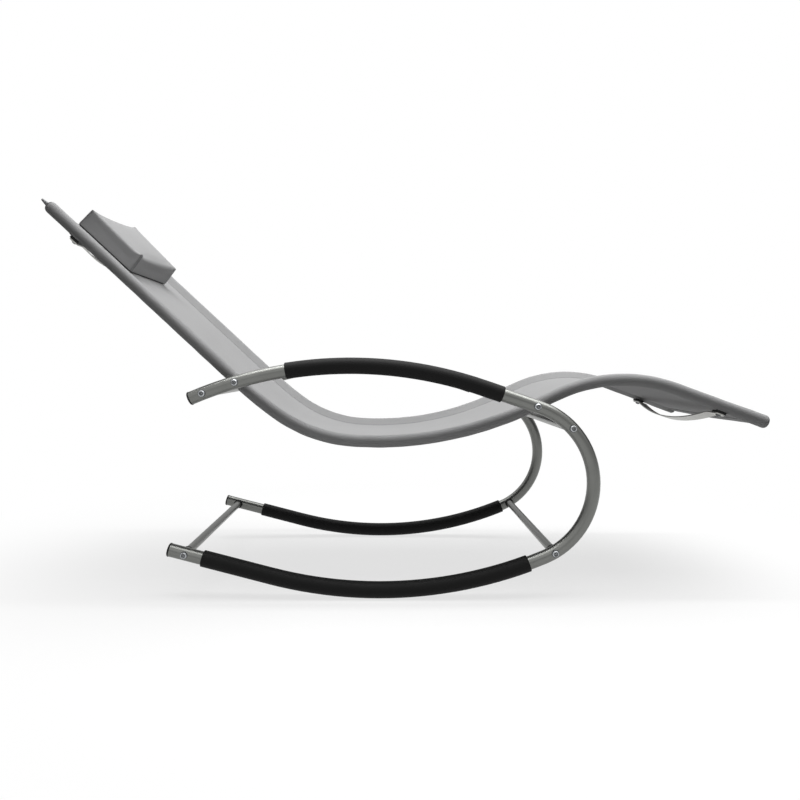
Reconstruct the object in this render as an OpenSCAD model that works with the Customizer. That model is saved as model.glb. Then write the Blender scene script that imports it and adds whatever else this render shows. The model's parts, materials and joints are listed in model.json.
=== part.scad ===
// Rocking chaise lounge.
// Two C-shaped side tubes are runner, front bend and armrest in one piece. Two S-shaped rails carry a sling
// and are bolted to the side tubes where the two curves cross. The foam on the runners is what rocks on the
// floor, and the pillow slides up and down the backrest.
//
// Everything is drawn in side view, x toward the feet, y up and z toward the sitter's right, and is stood up
// at the end by stand(). Places along a bent tube are given by the length from its head end.

/* [Side tubes] */
// Outer diameter of the side tubes
side_tube_d = 30; // [28:0.5:32]
// Wall thickness of the side tubes
side_tube_wall = 1.5; // [1.2:0.1:2]
// Distance between the side tubes, centre to centre
frame_width = 600; // [560:5:640]
// Straight length at the head end of the runner
runner_straight = 232; // [215:1:250]
// Downward slope of that straight length
runner_slope = 14.5; // [13.5:0.1:15.5]
// Radius that the chair rocks on, at the tube's centre line
runner_radius = 960; // [940:5:980]
// Turn of the runner
runner_turn = 36.9; // [36:0.1:38]
// Radius of the front bend
front_radius = 178; // [170:1:186]
// Turn of the front bend
front_turn = 138.6; // [137:0.1:140]
// Straight length between front bend and armrest
front_straight = 132; // [120:1:145]
// Radius of the armrest
arm_radius = 908; // [880:2:924]
// Length of the armrest behind the seat rail's bolt
arm_tail = 106; // [98:1:114]

/* [Foam] */
// Outer diameter of the foam on runners and armrests
foam_d = 37; // [35:0.5:42]
// Length of the foam on a runner
runner_foam_length = 740; // [700:5:760]
// Bare tube in front of the foam, at the head end of the right runner
runner_foam_at = 74; // [60:1:90]
// How much further along its tube the left runner's foam sits
left_foam_slip = 35; // [0:1:35]
// Bare tube between the front seat bolt and the foam on an armrest
arm_foam_front_gap = 79.3; // [50:0.1:110]
// Bare tube between that foam and the rear seat bolt
arm_foam_rear_gap = 113.6; // [60:0.1:140]

/* [Crossbars] */
// Outer diameter of the crossbars
crossbar_d = 19; // [16:0.5:20]
// Wall thickness of the crossbars
crossbar_wall = 1.2; // [1:0.1:1.6]
// Bolt of the lower head crossbar, from the head end of the runner
lower_head_bolt_at = 35; // [30:1:42]
// Bolt of the lower foot crossbar
lower_foot_bolt_at = 875; // [865:1:900]
// Bolt of the upper foot crossbar, from the front seat bolt
upper_foot_bolt_gap = 92.7; // [60:0.1:120]
// Bolt of the upper head crossbar, from the end of the armrest
upper_head_bolt_at = 30; // [28:1:45]
// Diameter of the saddle cups between crossbars and side tubes
saddle_d = 25; // [24:0.5:27]

/* [Seat rails] */
// Outer diameter of the seat rails
rail_d = 25; // [24:0.5:26]
// Wall thickness of the seat rails
rail_wall = 1.2; // [1:0.1:1.6]
// Head end of the sling, toward the head from where the runners touch the floor
rail_head_x = 752.2; // [740:1:764]
// Height of the head end of the sling
rail_head_height = 881.1; // [870:1:890]
// Slope of the backrest
back_slope = 42.86; // [42:0.1:43.5]
// Straight length of the backrest
back_straight = 598; // [590:1:606]
// Radius of the slight bend below the backrest
lumbar_radius = 828; // [780:2:880]
// Turn of that slight bend
lumbar_turn = 7.07; // [6.5:0.01:7.5]
// Radius of the bend between backrest and seat
hip_radius = 339; // [330:1:350]
// Turn of that bend
hip_turn = 32; // [31:0.5:33]
// Radius of the long seat bend
seat_radius = 812; // [780:2:840]
// Turn of the long seat bend
seat_turn = 28.7; // [28:0.1:29.5]
// Straight length between seat and knee bend
knee_straight = 75; // [60:1:90]
// Radius of the knee bend, which turns the other way
knee_radius = 352; // [335:1:370]
// Turn of the knee bend
knee_turn = 45.2; // [44:0.1:47]
// Straight length of the leg rest
leg_straight = 218; // [205:1:232]

/* [Sling] */
// Thickness of the sling fabric
fabric = 1.2; // [0.8:0.1:1.4]
// How far the sling's top face lies below the rails' centre line
panel_drop = 4; // [3:0.5:5]
// Width of the sewn edge under the sling panel
seam_width = 12; // [8:1:16]
// Width of the head and foot hems
hem_width = 20; // [12:1:25]

/* [Braces] */
// Width of the flat braces
brace_width = 25; // [20:1:28]
// Thickness of the flat braces
brace_thickness = 3; // [2.5:0.5:4]
// How far the braces bow away from the sling
brace_bow = 28; // [20:1:40]
// Flat length of a brace inside the rail's centre line
brace_tab = 36; // [20:1:45]
// Head brace, from the head end of the sling
head_brace_at = 101; // [90:1:115]
// Foot brace, from the foot end of the sling
foot_brace_at = 110; // [90:1:120]

/* [Pillow] */
// Length of the pillow along the backrest
pillow_length = 163; // [140:1:180]
// Width of the pillow
pillow_width = 280; // [240:5:320]
// Thickness of the pillow
pillow_thickness = 54; // [40:1:65]
// Rest place of the pillow, from the head end of the sling
pillow_at = 30; // [25:1:60]

/* [Hidden] */
$fn = 64;
$swell = 0;
lap = 0.4;
joint_step = 0.1;
fit = 0.1;
bolt_d = 8;
bolt_hole_d = 8.4;
bolt_head_d = 14;
bolt_length = 50;
nut_d = 11;
screw_d = 6;
foam_fit = 0.15;
foam_rounding = 2.5;
end_rounding = 11;
tube_inset = end_rounding + 1;

half_width = frame_width / 2;
side_r = side_tube_d / 2;
washer_face = half_width + side_r + 1;
crossbar_end = half_width - side_r - 3;
saddle_mouth = crossbar_end - 2;
sleeve_inner_r = rail_d / 2 + 0.3;
sleeve_r = sleeve_inner_r + fabric;
spacer_width = 6;
rail_z = half_width - side_r - spacer_width - sleeve_r;
panel_half = rail_z - sqrt(sleeve_r * sleeve_r - panel_drop * panel_drop) - 0.3;
panel_bottom = -panel_drop - fabric;
saddle_block_h = 6;
brace_h = -rail_d / 2 - saddle_block_h - brace_thickness / 2;
block_length = 24;
block_width = 20;
cutout_gap = 1.5;

// A path is a list of [length, radius]. Radius 0 is straight, a positive radius turns to the left. The side
// tube's last bend is longer than needed here, and side_length cuts it off behind the rear seat bolt.
function bend(radius, turn) = [abs(radius) * turn * PI / 180, radius];
side_path = [
  [runner_straight, 0],
  bend(runner_radius, runner_turn),
  bend(front_radius, front_turn),
  [front_straight, 0],
  bend(arm_radius, 80)
];
rail_path = [
  [back_straight, 0],
  bend(lumbar_radius, lumbar_turn),
  bend(hip_radius, hip_turn),
  bend(seat_radius, seat_turn),
  [knee_straight, 0],
  bend(-knee_radius, knee_turn),
  [leg_straight, 0]
];

// A pose is [x, y, heading]. The runner's foam touches the floor at x = 0.
side_start = [
  -runner_straight * cos(runner_slope) - runner_radius * sin(runner_slope),
  foam_d / 2 + runner_radius * (1 - cos(runner_slope)) + runner_straight * sin(runner_slope),
  -runner_slope
];
rail_start = [-rail_head_x, rail_head_height, -back_slope];

function before(path, i) = i == 0 ? 0 : path[i - 1][0] + before(path, i - 1);
function step_along(p, radius, l) = radius == 0
  ? [p[0] + l * cos(p[2]), p[1] + l * sin(p[2]), p[2]]
  : let(a = p[2] + l / radius * 180 / PI)
    [p[0] + radius * (sin(a) - sin(p[2])), p[1] - radius * (cos(a) - cos(p[2])), a];
function pose_at(path, p, s, i = 0) = i == len(path) - 1 || s <= path[i][0]
  ? step_along(p, path[i][1], s)
  : pose_at(path, step_along(p, path[i][1], path[i][0]), s - path[i][0], i + 1);
function side_pose(s) = pose_at(side_path, side_start, s);
function rail_pose(s) = pose_at(rail_path, rail_start, s);
rail_length = before(rail_path, len(rail_path));

// Where side tube and rail cross in side view: each round moves both places to where the tangents meet.
function cross2(a, b) = a[0] * b[1] - a[1] * b[0];
function crossing(s, t, rounds = 12) = rounds == 0 ? [s, t] :
  let(
    p = side_pose(s),
    q = rail_pose(t),
    gap = [q[0] - p[0], q[1] - p[1]],
    u = [cos(p[2]), sin(p[2])],
    v = [cos(q[2]), sin(q[2])]
  )
  crossing(s + cross2(gap, v) / cross2(u, v), t + cross2(gap, u) / cross2(u, v), rounds - 1);
arm_start = before(side_path, 4);
arm_crossing = crossing(arm_start + 0.61 * arm_radius, back_straight);
front_crossing = crossing(arm_start - 0.9 * front_straight, before(rail_path, 5));
crossings = [arm_crossing, front_crossing];
side_length = arm_crossing[0] + arm_tail;

crossbar_at = [
  lower_head_bolt_at,
  lower_foot_bolt_at,
  front_crossing[0] - upper_foot_bolt_gap,
  side_length - upper_head_bolt_at
];
brace_at = [head_brace_at, rail_length - foot_brace_at];

// The chair's ends in side view, so that it stands centred on its own length.
tip_r = 2.7;
tip_root_r = 5.9;
tip_length = 17.5;
head_end_x = rail_pose(-tip_length)[0] - tip_r;
foot_corner = rail_pose(rail_length - end_rounding);
foot_end_x = foot_corner[0] + end_rounding + (sleeve_r - end_rounding) * abs(sin(foot_corner[2]));
centre_x = (head_end_x + foot_end_x) / 2;

steel = "#a4abb1";
black = "#1c1d1f";
zinc = "#b9bcbe";
cloth = "#9a9c9e";
grey_plastic = "#7d8185";

// ---- tools ----

module stand() translate([-centre_x, 0, 0]) rotate([90, 0, 0]) children();
module left() mirror([0, 0, 1]) children();
module both_sides() {
  children();
  left() children();
}
module at(p) translate([p[0], p[1], 0]) rotate([0, 0, p[2]]) children();

// One stretch of tube. The profile's x is the path's left side and its y is the sitter's right.
module stretch(length, radius) {
  turn = radius == 0 ? 0 : length / abs(radius) * 180 / PI;
  if (radius == 0)
    rotate([90, 0, 90]) linear_extrude(length) children();
  else if (radius > 0)
    translate([0, radius, 0]) rotate(-90)
      rotate_extrude(angle = turn, $fn = 360) translate([radius, 0]) mirror([1, 0]) children();
  else
    translate([0, radius, 0]) rotate(90 - turn)
      rotate_extrude(angle = turn, $fn = 360) translate([-radius, 0]) children();
}

// A profile carried along a path. A bending machine leaves a faint step at each end of a bend: every second
// stretch is smaller by joint_step all round, and each one laps into the next.
module sweep(path, start, from, to) {
  for (i = [0:len(path) - 1]) {
    low = max(from, before(path, i));
    high = min(to, before(path, i + 1));
    $swell = i % 2 == 0 ? -joint_step : 0;
    if (high - low > 0.001)
      at(pose_at(path, start, low)) stretch(min(high + lap, to) - low, path[i][1]) children();
  }
}
module ring(outer_d, inner_d) difference() {
  circle(d = outer_d + 2 * $swell);
  circle(d = inner_d + 2 * $swell);
}
module along_side(from, to) translate([0, 0, half_width]) sweep(side_path, side_start, from, to) children();
module along_rail(from, to) translate([0, 0, rail_z]) sweep(rail_path, rail_start, from, to) children();

// A half section from the axis out to r, from -below to top, with its outer top corner rounded.
module rounded_half(r, top, rounding, below) difference() {
  translate([0, -below]) square([r, top + below]);
  translate([r - rounding, top - rounding]) difference() {
    square(rounding + 1);
    circle(r = rounding);
  }
}
module rounded_rect(a, b, r) {
  translate([r, 0]) square([a - 2 * r, b]);
  translate([0, r]) square([a, b - 2 * r]);
  for (x = [r, a - r], y = [r, b - r]) translate([x, y]) circle(r = r);
}
module head_end_of(p) at(p) rotate([0, -90, 0]) children();
module foot_end_of(p) at(p) rotate([0, 90, 0]) children();

// ---- side frames ----

module side_tube() difference() {
  along_side(0, side_length) ring(side_tube_d, side_tube_d - 2 * side_tube_wall);
  for (s = concat(crossbar_at, [for (c = crossings) c[0]]))
    at(side_pose(s)) translate([0, 0, half_width])
      cylinder(d = bolt_hole_d, h = 2 * side_tube_d, center = true);
}

module foam_end() rotate_extrude() difference() {
  rounded_half(foam_d / 2 + joint_step, foam_rounding, foam_rounding, lap);
  translate([0, -1]) square([side_r + foam_fit + joint_step, foam_rounding + 2]);
}
module foam(from, to) {
  along_side(from + foam_rounding, to - foam_rounding) ring(foam_d, side_tube_d + 2 * foam_fit);
  translate([0, 0, half_width]) {
    head_end_of(side_pose(from + foam_rounding)) foam_end();
    foot_end_of(side_pose(to - foam_rounding)) foam_end();
  }
}
module arm_foam() foam(front_crossing[0] + arm_foam_front_gap, arm_crossing[0] - arm_foam_rear_gap);
module runner_foam(slip) foam(runner_foam_at + slip, runner_foam_at + slip + runner_foam_length);

// Pushed into a tube end, held by two ribs.
module end_cap() {
  bore_r = side_r - side_tube_wall - joint_step;
  rotate_extrude() {
    rounded_half(side_r + 0.6, 4.5, 4, 0);
    translate([0, -18]) square([bore_r - 0.4, 18.5]);
    for (y = [-13, -6]) translate([0, y]) square([bore_r - 0.05, 1.5]);
  }
}
module runner_cap() translate([0, 0, half_width]) head_end_of(side_pose(0)) end_cap();
module arm_cap() translate([0, 0, half_width]) foot_end_of(side_pose(side_length)) end_cap();

module side_frame_right() color(steel) stand() side_tube();
module side_frame_left() color(steel) stand() left() side_tube();
module arm_grip_right() color(black) stand() arm_foam();
module arm_grip_left() color(black) stand() left() arm_foam();
module runner_sleeve_right() color(black) stand() runner_foam(0);
module runner_sleeve_left() color(black) stand() left() runner_foam(left_foam_slip);
module runner_end_cap_right() color(black) stand() runner_cap();
module runner_end_cap_left() color(black) stand() left() runner_cap();
module arm_end_cap_right() color(black) stand() arm_cap();
module arm_end_cap_left() color(black) stand() left() arm_cap();

// ---- crossbars and their bolts ----

module crossbar(i) at(side_pose(crossbar_at[i]))
  linear_extrude(2 * crossbar_end, center = true) ring(crossbar_d, crossbar_d - 2 * crossbar_wall);

// A cup for the crossbar's end, hollowed to sit on the round side tube.
module saddle(s) difference() {
  at(side_pose(s)) translate([0, 0, saddle_mouth])
    cylinder(d = saddle_d, h = half_width - side_r + 4 - saddle_mouth);
  along_side(s - 20, s + 20) circle(d = side_tube_d + fit + 2 * $swell);
  at(side_pose(s)) translate([0, 0, saddle_mouth - 1])
    cylinder(d = crossbar_d + 0.3, h = crossbar_end - saddle_mouth + 1);
  at(side_pose(s)) translate([0, 0, saddle_mouth - 1]) cylinder(d = bolt_hole_d, h = 30);
}

// Threaded plug inside a crossbar's end.
module threaded_plug(s) at(side_pose(s)) translate([0, 0, crossbar_end - 16]) difference() {
  cylinder(d = crossbar_d - 2 * crossbar_wall - 2 * fit, h = 16);
  translate([0, 0, -1]) cylinder(d = bolt_d, h = 18);
}

// Round washer, hollowed to sit on the side tube.
module washer(s) difference() {
  at(side_pose(s)) translate([0, 0, washer_face - 5]) cylinder(d = 17, h = 5);
  along_side(s - 15, s + 15) circle(d = side_tube_d + fit + 2 * $swell);
  at(side_pose(s)) translate([0, 0, washer_face - 6]) cylinder(d = bolt_hole_d, h = 8);
}

// A button head bolt with its bearing face at z = 0 and its head outside.
module bolt(head_d, shank_d, length, head_h, key) difference() {
  union() {
    cylinder(d = head_d, h = head_h * 0.55);
    translate([0, 0, head_h * 0.55]) cylinder(d1 = head_d, d2 = head_d - 4, h = head_h * 0.45);
    translate([0, 0, -length]) cylinder(d = shank_d - 0.2, h = length + 1);
  }
  translate([0, 0, head_h * 0.4]) cylinder(d = key, h = head_h, $fn = 6);
}
module frame_bolt(s) at(side_pose(s)) translate([0, 0, washer_face])
  bolt(bolt_head_d, bolt_d, bolt_length, 4, 5.8);

module lower_head_crossbar() color(steel) stand() crossbar(0);
module lower_foot_crossbar() color(steel) stand() crossbar(1);
module upper_foot_crossbar() color(steel) stand() crossbar(2);
module upper_head_crossbar() color(steel) stand() crossbar(3);
module crossbar_saddles() color(black) stand() both_sides() for (s = crossbar_at) saddle(s);
module crossbar_plugs() color(zinc) stand() both_sides() for (s = crossbar_at) threaded_plug(s);
module crossbar_bolts() color(zinc) stand() both_sides() for (s = crossbar_at) frame_bolt(s);
module crossbar_washers() color(zinc) stand() both_sides() for (s = crossbar_at) washer(s);

// ---- seat rails ----

module rail_tube() difference() {
  along_rail(tube_inset, rail_length - tube_inset) ring(rail_d, rail_d - 2 * rail_wall);
  for (c = crossings) at(rail_pose(c[1])) translate([0, 0, rail_z]) cylinder(d = nut_d + 0.2, h = rail_d);
  for (s = brace_at) at(rail_pose(s)) translate([0, 0, rail_z]) rotate([90, 0, 0]) cylinder(d = 9.2, h = rail_d);
}

// Body inside the tube, shoulder under the sleeve's rounded end.
module plug_section() {
  translate([0, -tube_inset - 18]) square([rail_d / 2 - rail_wall - joint_step - fit, 18.5]);
  rounded_half(rail_d / 2 - fit, -fabric - 0.3, end_rounding - fabric, tube_inset);
}
module head_plug() translate([0, 0, rail_z]) head_end_of(rail_pose(0)) rotate_extrude() {
  plug_section();
  polygon([[0, -3], [tip_root_r, -3], [tip_r, tip_length], [0, tip_length]]);
  intersection() {
    translate([0, tip_length]) circle(r = tip_r);
    translate([0, tip_length - 0.5]) square(2 * tip_r);
  }
}
module foot_plug() translate([0, 0, rail_z]) foot_end_of(rail_pose(rail_length)) rotate_extrude() plug_section();

// The seat bolts pass side tube, spacer and sleeve, and end in a rivet nut in the rail.
module spacer(c) difference() {
  at(rail_pose(c[1])) translate([0, 0, rail_z + 10]) cylinder(d = 20, h = half_width - side_r + 3.5 - rail_z - 10);
  along_side(c[0] - 18, c[0] + 18) circle(d = side_tube_d + fit + 2 * $swell);
  along_rail(c[1] - 18, c[1] + 18) circle(d = 2 * sleeve_r + fit + 2 * $swell);
  at(rail_pose(c[1])) translate([0, 0, rail_z]) cylinder(d = bolt_hole_d, h = 40);
}
module rivet_nut(c) at(rail_pose(c[1])) translate([0, 0, rail_z]) difference() {
  union() {
    translate([0, 0, -1]) cylinder(d = nut_d, h = rail_d / 2 + 0.5);
    difference() {
      intersection() {
        cylinder(d = 14, h = sleeve_r);
        rotate([0, 90, 0]) cylinder(r = sleeve_r - 0.2, h = 30, center = true);
      }
      rotate([0, 90, 0]) cylinder(d = rail_d + fit, h = 40, center = true);
    }
  }
  translate([0, 0, -2]) cylinder(d = bolt_d, h = 20);
}

module seat_rail_right() color(steel) stand() rail_tube();
module seat_rail_left() color(steel) stand() left() rail_tube();
module rail_head_plug_right() color(grey_plastic) stand() head_plug();
module rail_head_plug_left() color(grey_plastic) stand() left() head_plug();
module rail_foot_plug_right() color(grey_plastic) stand() foot_plug();
module rail_foot_plug_left() color(grey_plastic) stand() left() foot_plug();
module seat_bolts() color(zinc) stand() both_sides() for (c = crossings) frame_bolt(c[0]);
module seat_washers() color(zinc) stand() both_sides() for (c = crossings) washer(c[0]);
module seat_spacers() color(black) stand() both_sides() for (c = crossings) spacer(c);
module seat_rivet_nuts() color(zinc) stand() both_sides() for (c = crossings) rivet_nut(c);

// ---- braces ----

// Flat tabs under the rails, a tight bend down and one shallow arc between them.
tab_bend = 12;
arc_half = rail_z - brace_tab;
arc_radius = (arc_half * arc_half + brace_bow * brace_bow) / (2 * brace_bow) - tab_bend;
arc_turn = asin(arc_half / (arc_radius + tab_bend));
brace_path = [
  [brace_tab, 0],
  bend(-tab_bend, arc_turn),
  bend(arc_radius, 2 * arc_turn),
  bend(-tab_bend, arc_turn),
  [brace_tab, 0]
];
module brace(s) at(rail_pose(s)) difference() {
  union() {
    rotate([0, -90, 0]) sweep(brace_path, [-rail_z, brace_h, 0], 0, before(brace_path, 5))
      square([brace_thickness + 2 * $swell, brace_width + 2 * $swell], center = true);
    for (z = [-rail_z, rail_z]) translate([0, brace_h, z]) rotate([90, 0, 0])
      cylinder(d = brace_width + 0.05, h = brace_thickness + 0.05, center = true);
  }
  for (z = [-rail_z, rail_z]) translate([0, brace_h, z]) rotate([90, 0, 0])
    cylinder(d = screw_d + 0.5, h = 20, center = true);
}
// Moulded block between rail and brace, hollowed on top for the rail and the rivet nut's flange.
module brace_saddle(s) at(rail_pose(s)) translate([0, 0, rail_z]) difference() {
  translate([-block_length / 2, brace_h + brace_thickness / 2 + 0.03, -block_width / 2])
    cube([block_length, saddle_block_h + 4.5, block_width]);
  rotate([0, 90, 0]) cylinder(d = rail_d + fit, h = 40, center = true);
  rotate([90, 0, 0]) cylinder(d = screw_d + 0.5, h = 30);
  rotate([90, 0, 0]) cylinder(d = 12.5, h = rail_d / 2 + 1.1);
}
module brace_screw(s) at(rail_pose(s)) translate([0, brace_h - brace_thickness / 2 - 0.03, rail_z])
  rotate([90, 0, 0]) bolt(11, screw_d, 18, 3.3, 4.6);
module brace_nut(s) at(rail_pose(s)) translate([0, 0, rail_z]) rotate([90, 0, 0]) difference() {
  union() {
    translate([0, 0, 3]) cylinder(d = 9, h = rail_d / 2 - 2.5);
    translate([0, 0, rail_d / 2 + 0.03]) cylinder(d = 12, h = 0.9);
  }
  cylinder(d = screw_d, h = 20);
}
module head_brace() color(steel) stand() brace(brace_at[0]);
module foot_brace() color(steel) stand() brace(brace_at[1]);
module brace_saddles() color(black) stand() both_sides() for (s = brace_at) brace_saddle(s);
module brace_screws() color(zinc) stand() both_sides() for (s = brace_at) brace_screw(s);
module brace_rivet_nuts() color(zinc) stand() both_sides() for (s = brace_at) brace_nut(s);

// ---- sling ----

sleeve_end = 20;
module sleeve_profile() {
  ring(2 * sleeve_r, 2 * sleeve_inner_r);
  seam_h = panel_bottom - fabric;
  seam_root = sqrt(sleeve_r * sleeve_r - seam_h * seam_h) - 0.4 * fabric;
  translate([seam_h + $swell, panel_half - rail_z - seam_width - $swell])
    square([fabric, seam_width + rail_z - panel_half - seam_root + 2 * $swell]);
}
module sleeve_cap(hole_r) rotate_extrude() difference() {
  rounded_half(sleeve_r, 0, end_rounding, sleeve_end + lap);
  rounded_half(sleeve_inner_r, -fabric, end_rounding - fabric, sleeve_end + 1);
  if (hole_r > 0) translate([0, -fabric - 1]) square([hole_r, fabric + 2]);
}
module sleeve() difference() {
  union() {
    along_rail(sleeve_end, rail_length - sleeve_end) sleeve_profile();
    translate([0, 0, rail_z]) {
      head_end_of(rail_pose(0)) sleeve_cap(tip_root_r);
      foot_end_of(rail_pose(rail_length)) sleeve_cap(0);
    }
  }
  for (c = crossings) at(rail_pose(c[1])) translate([0, 0, rail_z]) cylinder(d = 15, h = 20);
  cutout = [block_length / 2 + cutout_gap, sleeve_r + saddle_block_h, block_width / 2 + cutout_gap];
  for (s = brace_at) at(rail_pose(s)) translate([-cutout[0], -cutout[1], rail_z - cutout[2]])
    cube([2 * cutout[0], cutout[1] - 5, 2 * cutout[2]]);
}
module panel() {
  sweep(rail_path, rail_start, sleeve_end, rail_length - 6)
    translate([panel_bottom + $swell, -panel_half - $swell]) square([fabric, 2 * panel_half + 2 * $swell]);
  hem_half = panel_half - seam_width - 1;
  for (s = [sleeve_end, rail_length - 6 - hem_width]) at(rail_pose(s))
    translate([0, panel_bottom - fabric, -hem_half]) cube([hem_width, fabric + 0.3, 2 * hem_half]);
}
module sling_panel() color(cloth) stand() panel();
module sling_sleeve_right() color(cloth) stand() sleeve();
module sling_sleeve_left() color(cloth) stand() left() sleeve();

// ---- pillow ----

tape_z = 80;
tape_width = 25;
tape = 1;
tape_fold = fabric + tape / 2 + 0.15;
strap_front = pillow_length + 10;
strap_path = [[strap_front, 0], bend(tape_fold, 180), [hem_width + 20, 0]];
// A tape goes over the head hem and lies under the pillow, which grips it with a tape of its own.
module strap() at(rail_pose(0)) translate([0, 0, tape_z])
  sweep(strap_path, [sleeve_end + strap_front, -panel_drop + tape / 2, 180], 0, before(strap_path, 3))
    square([tape + 2 * $swell, tape_width + 2 * $swell], center = true);
grip_bottom = -panel_drop + tape + 0.3;
pillow_bottom = grip_bottom + tape;
module pillow_body() at(rail_pose(pillow_at)) translate([0, pillow_bottom, 0]) intersection() {
  translate([0, 0, -pillow_width / 2]) linear_extrude(pillow_width)
    rounded_rect(pillow_length, pillow_thickness, 22);
  translate([-1, 0, pillow_width / 2]) rotate([0, 90, 0]) linear_extrude(pillow_length + 2)
    rounded_rect(pillow_width, pillow_thickness, 22);
  translate([0, -1, pillow_width / 2]) rotate([-90, 0, 0]) linear_extrude(pillow_thickness + 2)
    rounded_rect(pillow_length, pillow_width, 18);
}
module grip() at(rail_pose(pillow_at)) translate([tape_width, grip_bottom, tape_z - tape_width / 2])
  cube([pillow_length - 2 * tape_width, tape, tape_width]);
module pillow_straps() color(black) stand() both_sides() strap();
module pillow() color(cloth) stand() pillow_body();
module pillow_grips() color(black) stand() both_sides() grip();

side_frame_right();
side_frame_left();
arm_grip_right();
arm_grip_left();
runner_sleeve_right();
runner_sleeve_left();
runner_end_cap_right();
runner_end_cap_left();
arm_end_cap_right();
arm_end_cap_left();
lower_head_crossbar();
lower_foot_crossbar();
upper_foot_crossbar();
upper_head_crossbar();
crossbar_saddles();
crossbar_plugs();
crossbar_bolts();
crossbar_washers();
seat_rail_right();
seat_rail_left();
rail_head_plug_right();
rail_head_plug_left();
rail_foot_plug_right();
rail_foot_plug_left();
seat_bolts();
seat_washers();
seat_spacers();
seat_rivet_nuts();
head_brace();
foot_brace();
brace_saddles();
brace_screws();
brace_rivet_nuts();
sling_panel();
sling_sleeve_right();
sling_sleeve_left();
pillow_straps();
pillow();
pillow_grips();
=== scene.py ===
import json
import math

import bpy
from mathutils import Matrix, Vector, noise


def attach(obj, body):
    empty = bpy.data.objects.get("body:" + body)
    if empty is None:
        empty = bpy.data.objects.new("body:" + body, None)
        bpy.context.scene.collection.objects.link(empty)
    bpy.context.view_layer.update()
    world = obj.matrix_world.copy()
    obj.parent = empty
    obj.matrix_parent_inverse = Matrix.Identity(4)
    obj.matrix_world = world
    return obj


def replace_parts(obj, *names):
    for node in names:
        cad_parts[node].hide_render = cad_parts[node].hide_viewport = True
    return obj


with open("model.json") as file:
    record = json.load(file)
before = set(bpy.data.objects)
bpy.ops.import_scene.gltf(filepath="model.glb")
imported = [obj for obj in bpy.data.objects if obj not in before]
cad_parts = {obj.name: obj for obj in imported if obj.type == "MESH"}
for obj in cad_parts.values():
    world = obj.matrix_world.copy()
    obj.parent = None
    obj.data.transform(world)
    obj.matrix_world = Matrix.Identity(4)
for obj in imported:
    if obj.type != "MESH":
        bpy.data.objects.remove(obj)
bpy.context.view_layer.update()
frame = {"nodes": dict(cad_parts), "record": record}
scene = bpy.context.scene
scene.view_settings.view_transform = "Standard"
bpy.ops.object.select_all(action="DESELECT")

# ---------------------------------------------------------------- camera
# The camera stands level at the sitter's right, half a metre above the floor and 1.6 m from the near tubes.
# A small shift of its lens frames the chair, so that it need not tilt.
TOUCH = frame["record"]["mounts"][0]["pos_m"][0]  # X of the line on which the runners touch the floor
CAMERA_PLACE = (TOUCH + 0.0121, -1.924, 0.5169)
LEVEL = (math.radians(90), 0, 0)
bpy.ops.object.camera_add(location=CAMERA_PLACE, rotation=LEVEL)
camera = bpy.context.object
camera.data.sensor_width = 36
camera.data.lens = 32.886
camera.data.shift_x = 0.0189
camera.data.shift_y = -0.0432
scene.camera = camera


# ---------------------------------------------------------------- studio light
# A wide soft lamp overhead lights the chair, and a narrow one below it draws a thin highlight along the
# tubes. A weak lamp on the camera's side opens the shadows.
def soft_lamp(place, width, depth, watts, turn=(0, 0, 0)):
    """A rectangular lamp that shines straight down, or as it is turned."""
    bpy.ops.object.light_add(type="AREA", location=place, rotation=turn)
    lamp = bpy.context.object.data
    lamp.shape = "RECTANGLE"
    lamp.size = width
    lamp.size_y = depth
    lamp.energy = watts


TOWARDS_CHAIR = (math.radians(68), 0, math.radians(-14))
soft_lamp(place=(0.6, 0.1, 3.2), width=4.5, depth=3.2, watts=126)
soft_lamp(place=(0.2, -0.05, 3.1), width=4.5, depth=0.2, watts=34)
soft_lamp(place=(-1.0, -3.4, 1.6), width=2.5, depth=2.5, watts=7, turn=TOWARDS_CHAIR)


# ---------------------------------------------------------------- white surround
# The surround is white where it is seen, mirrored or seen through something clear, and gives only a little
# light of its own. In mirrors it falls off towards the horizon, as in a studio with dim walls.
WHITE = (1, 1, 1, 1)
DIM_LIGHT = 0.045
# A mirror sees the surround this dim below the first height and white above the second, where 0 is the
# horizon and 1 is overhead.
WALL_LOW, WALL_HIGH, WALL_DIM = 0.1, 0.7, 0.52


def node(tree, kind, inputs, **settings):
    """Adds a node. inputs gives its sockets, by name or number, a value or the output linked to them."""
    made = tree.nodes.new(kind)
    for setting, value in settings.items():
        setattr(made, setting, value)
    for socket, value in inputs.items():
        if isinstance(value, bpy.types.NodeSocket):
            tree.links.new(value, made.inputs[socket])
        else:
            made.inputs[socket].default_value = value
    return made


def in_sight(tree, path):
    """1 for a ray from the camera, from a mirror or through something clear, 0 for all others."""
    sight = path.outputs["Is Camera Ray"]
    for ray in ("Is Glossy Ray", "Is Transmission Ray"):
        inputs = {0: sight, 1: path.outputs[ray]}
        sight = node(tree, "ShaderNodeMath", inputs, operation="MAXIMUM").outputs[0]
    return sight


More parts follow.
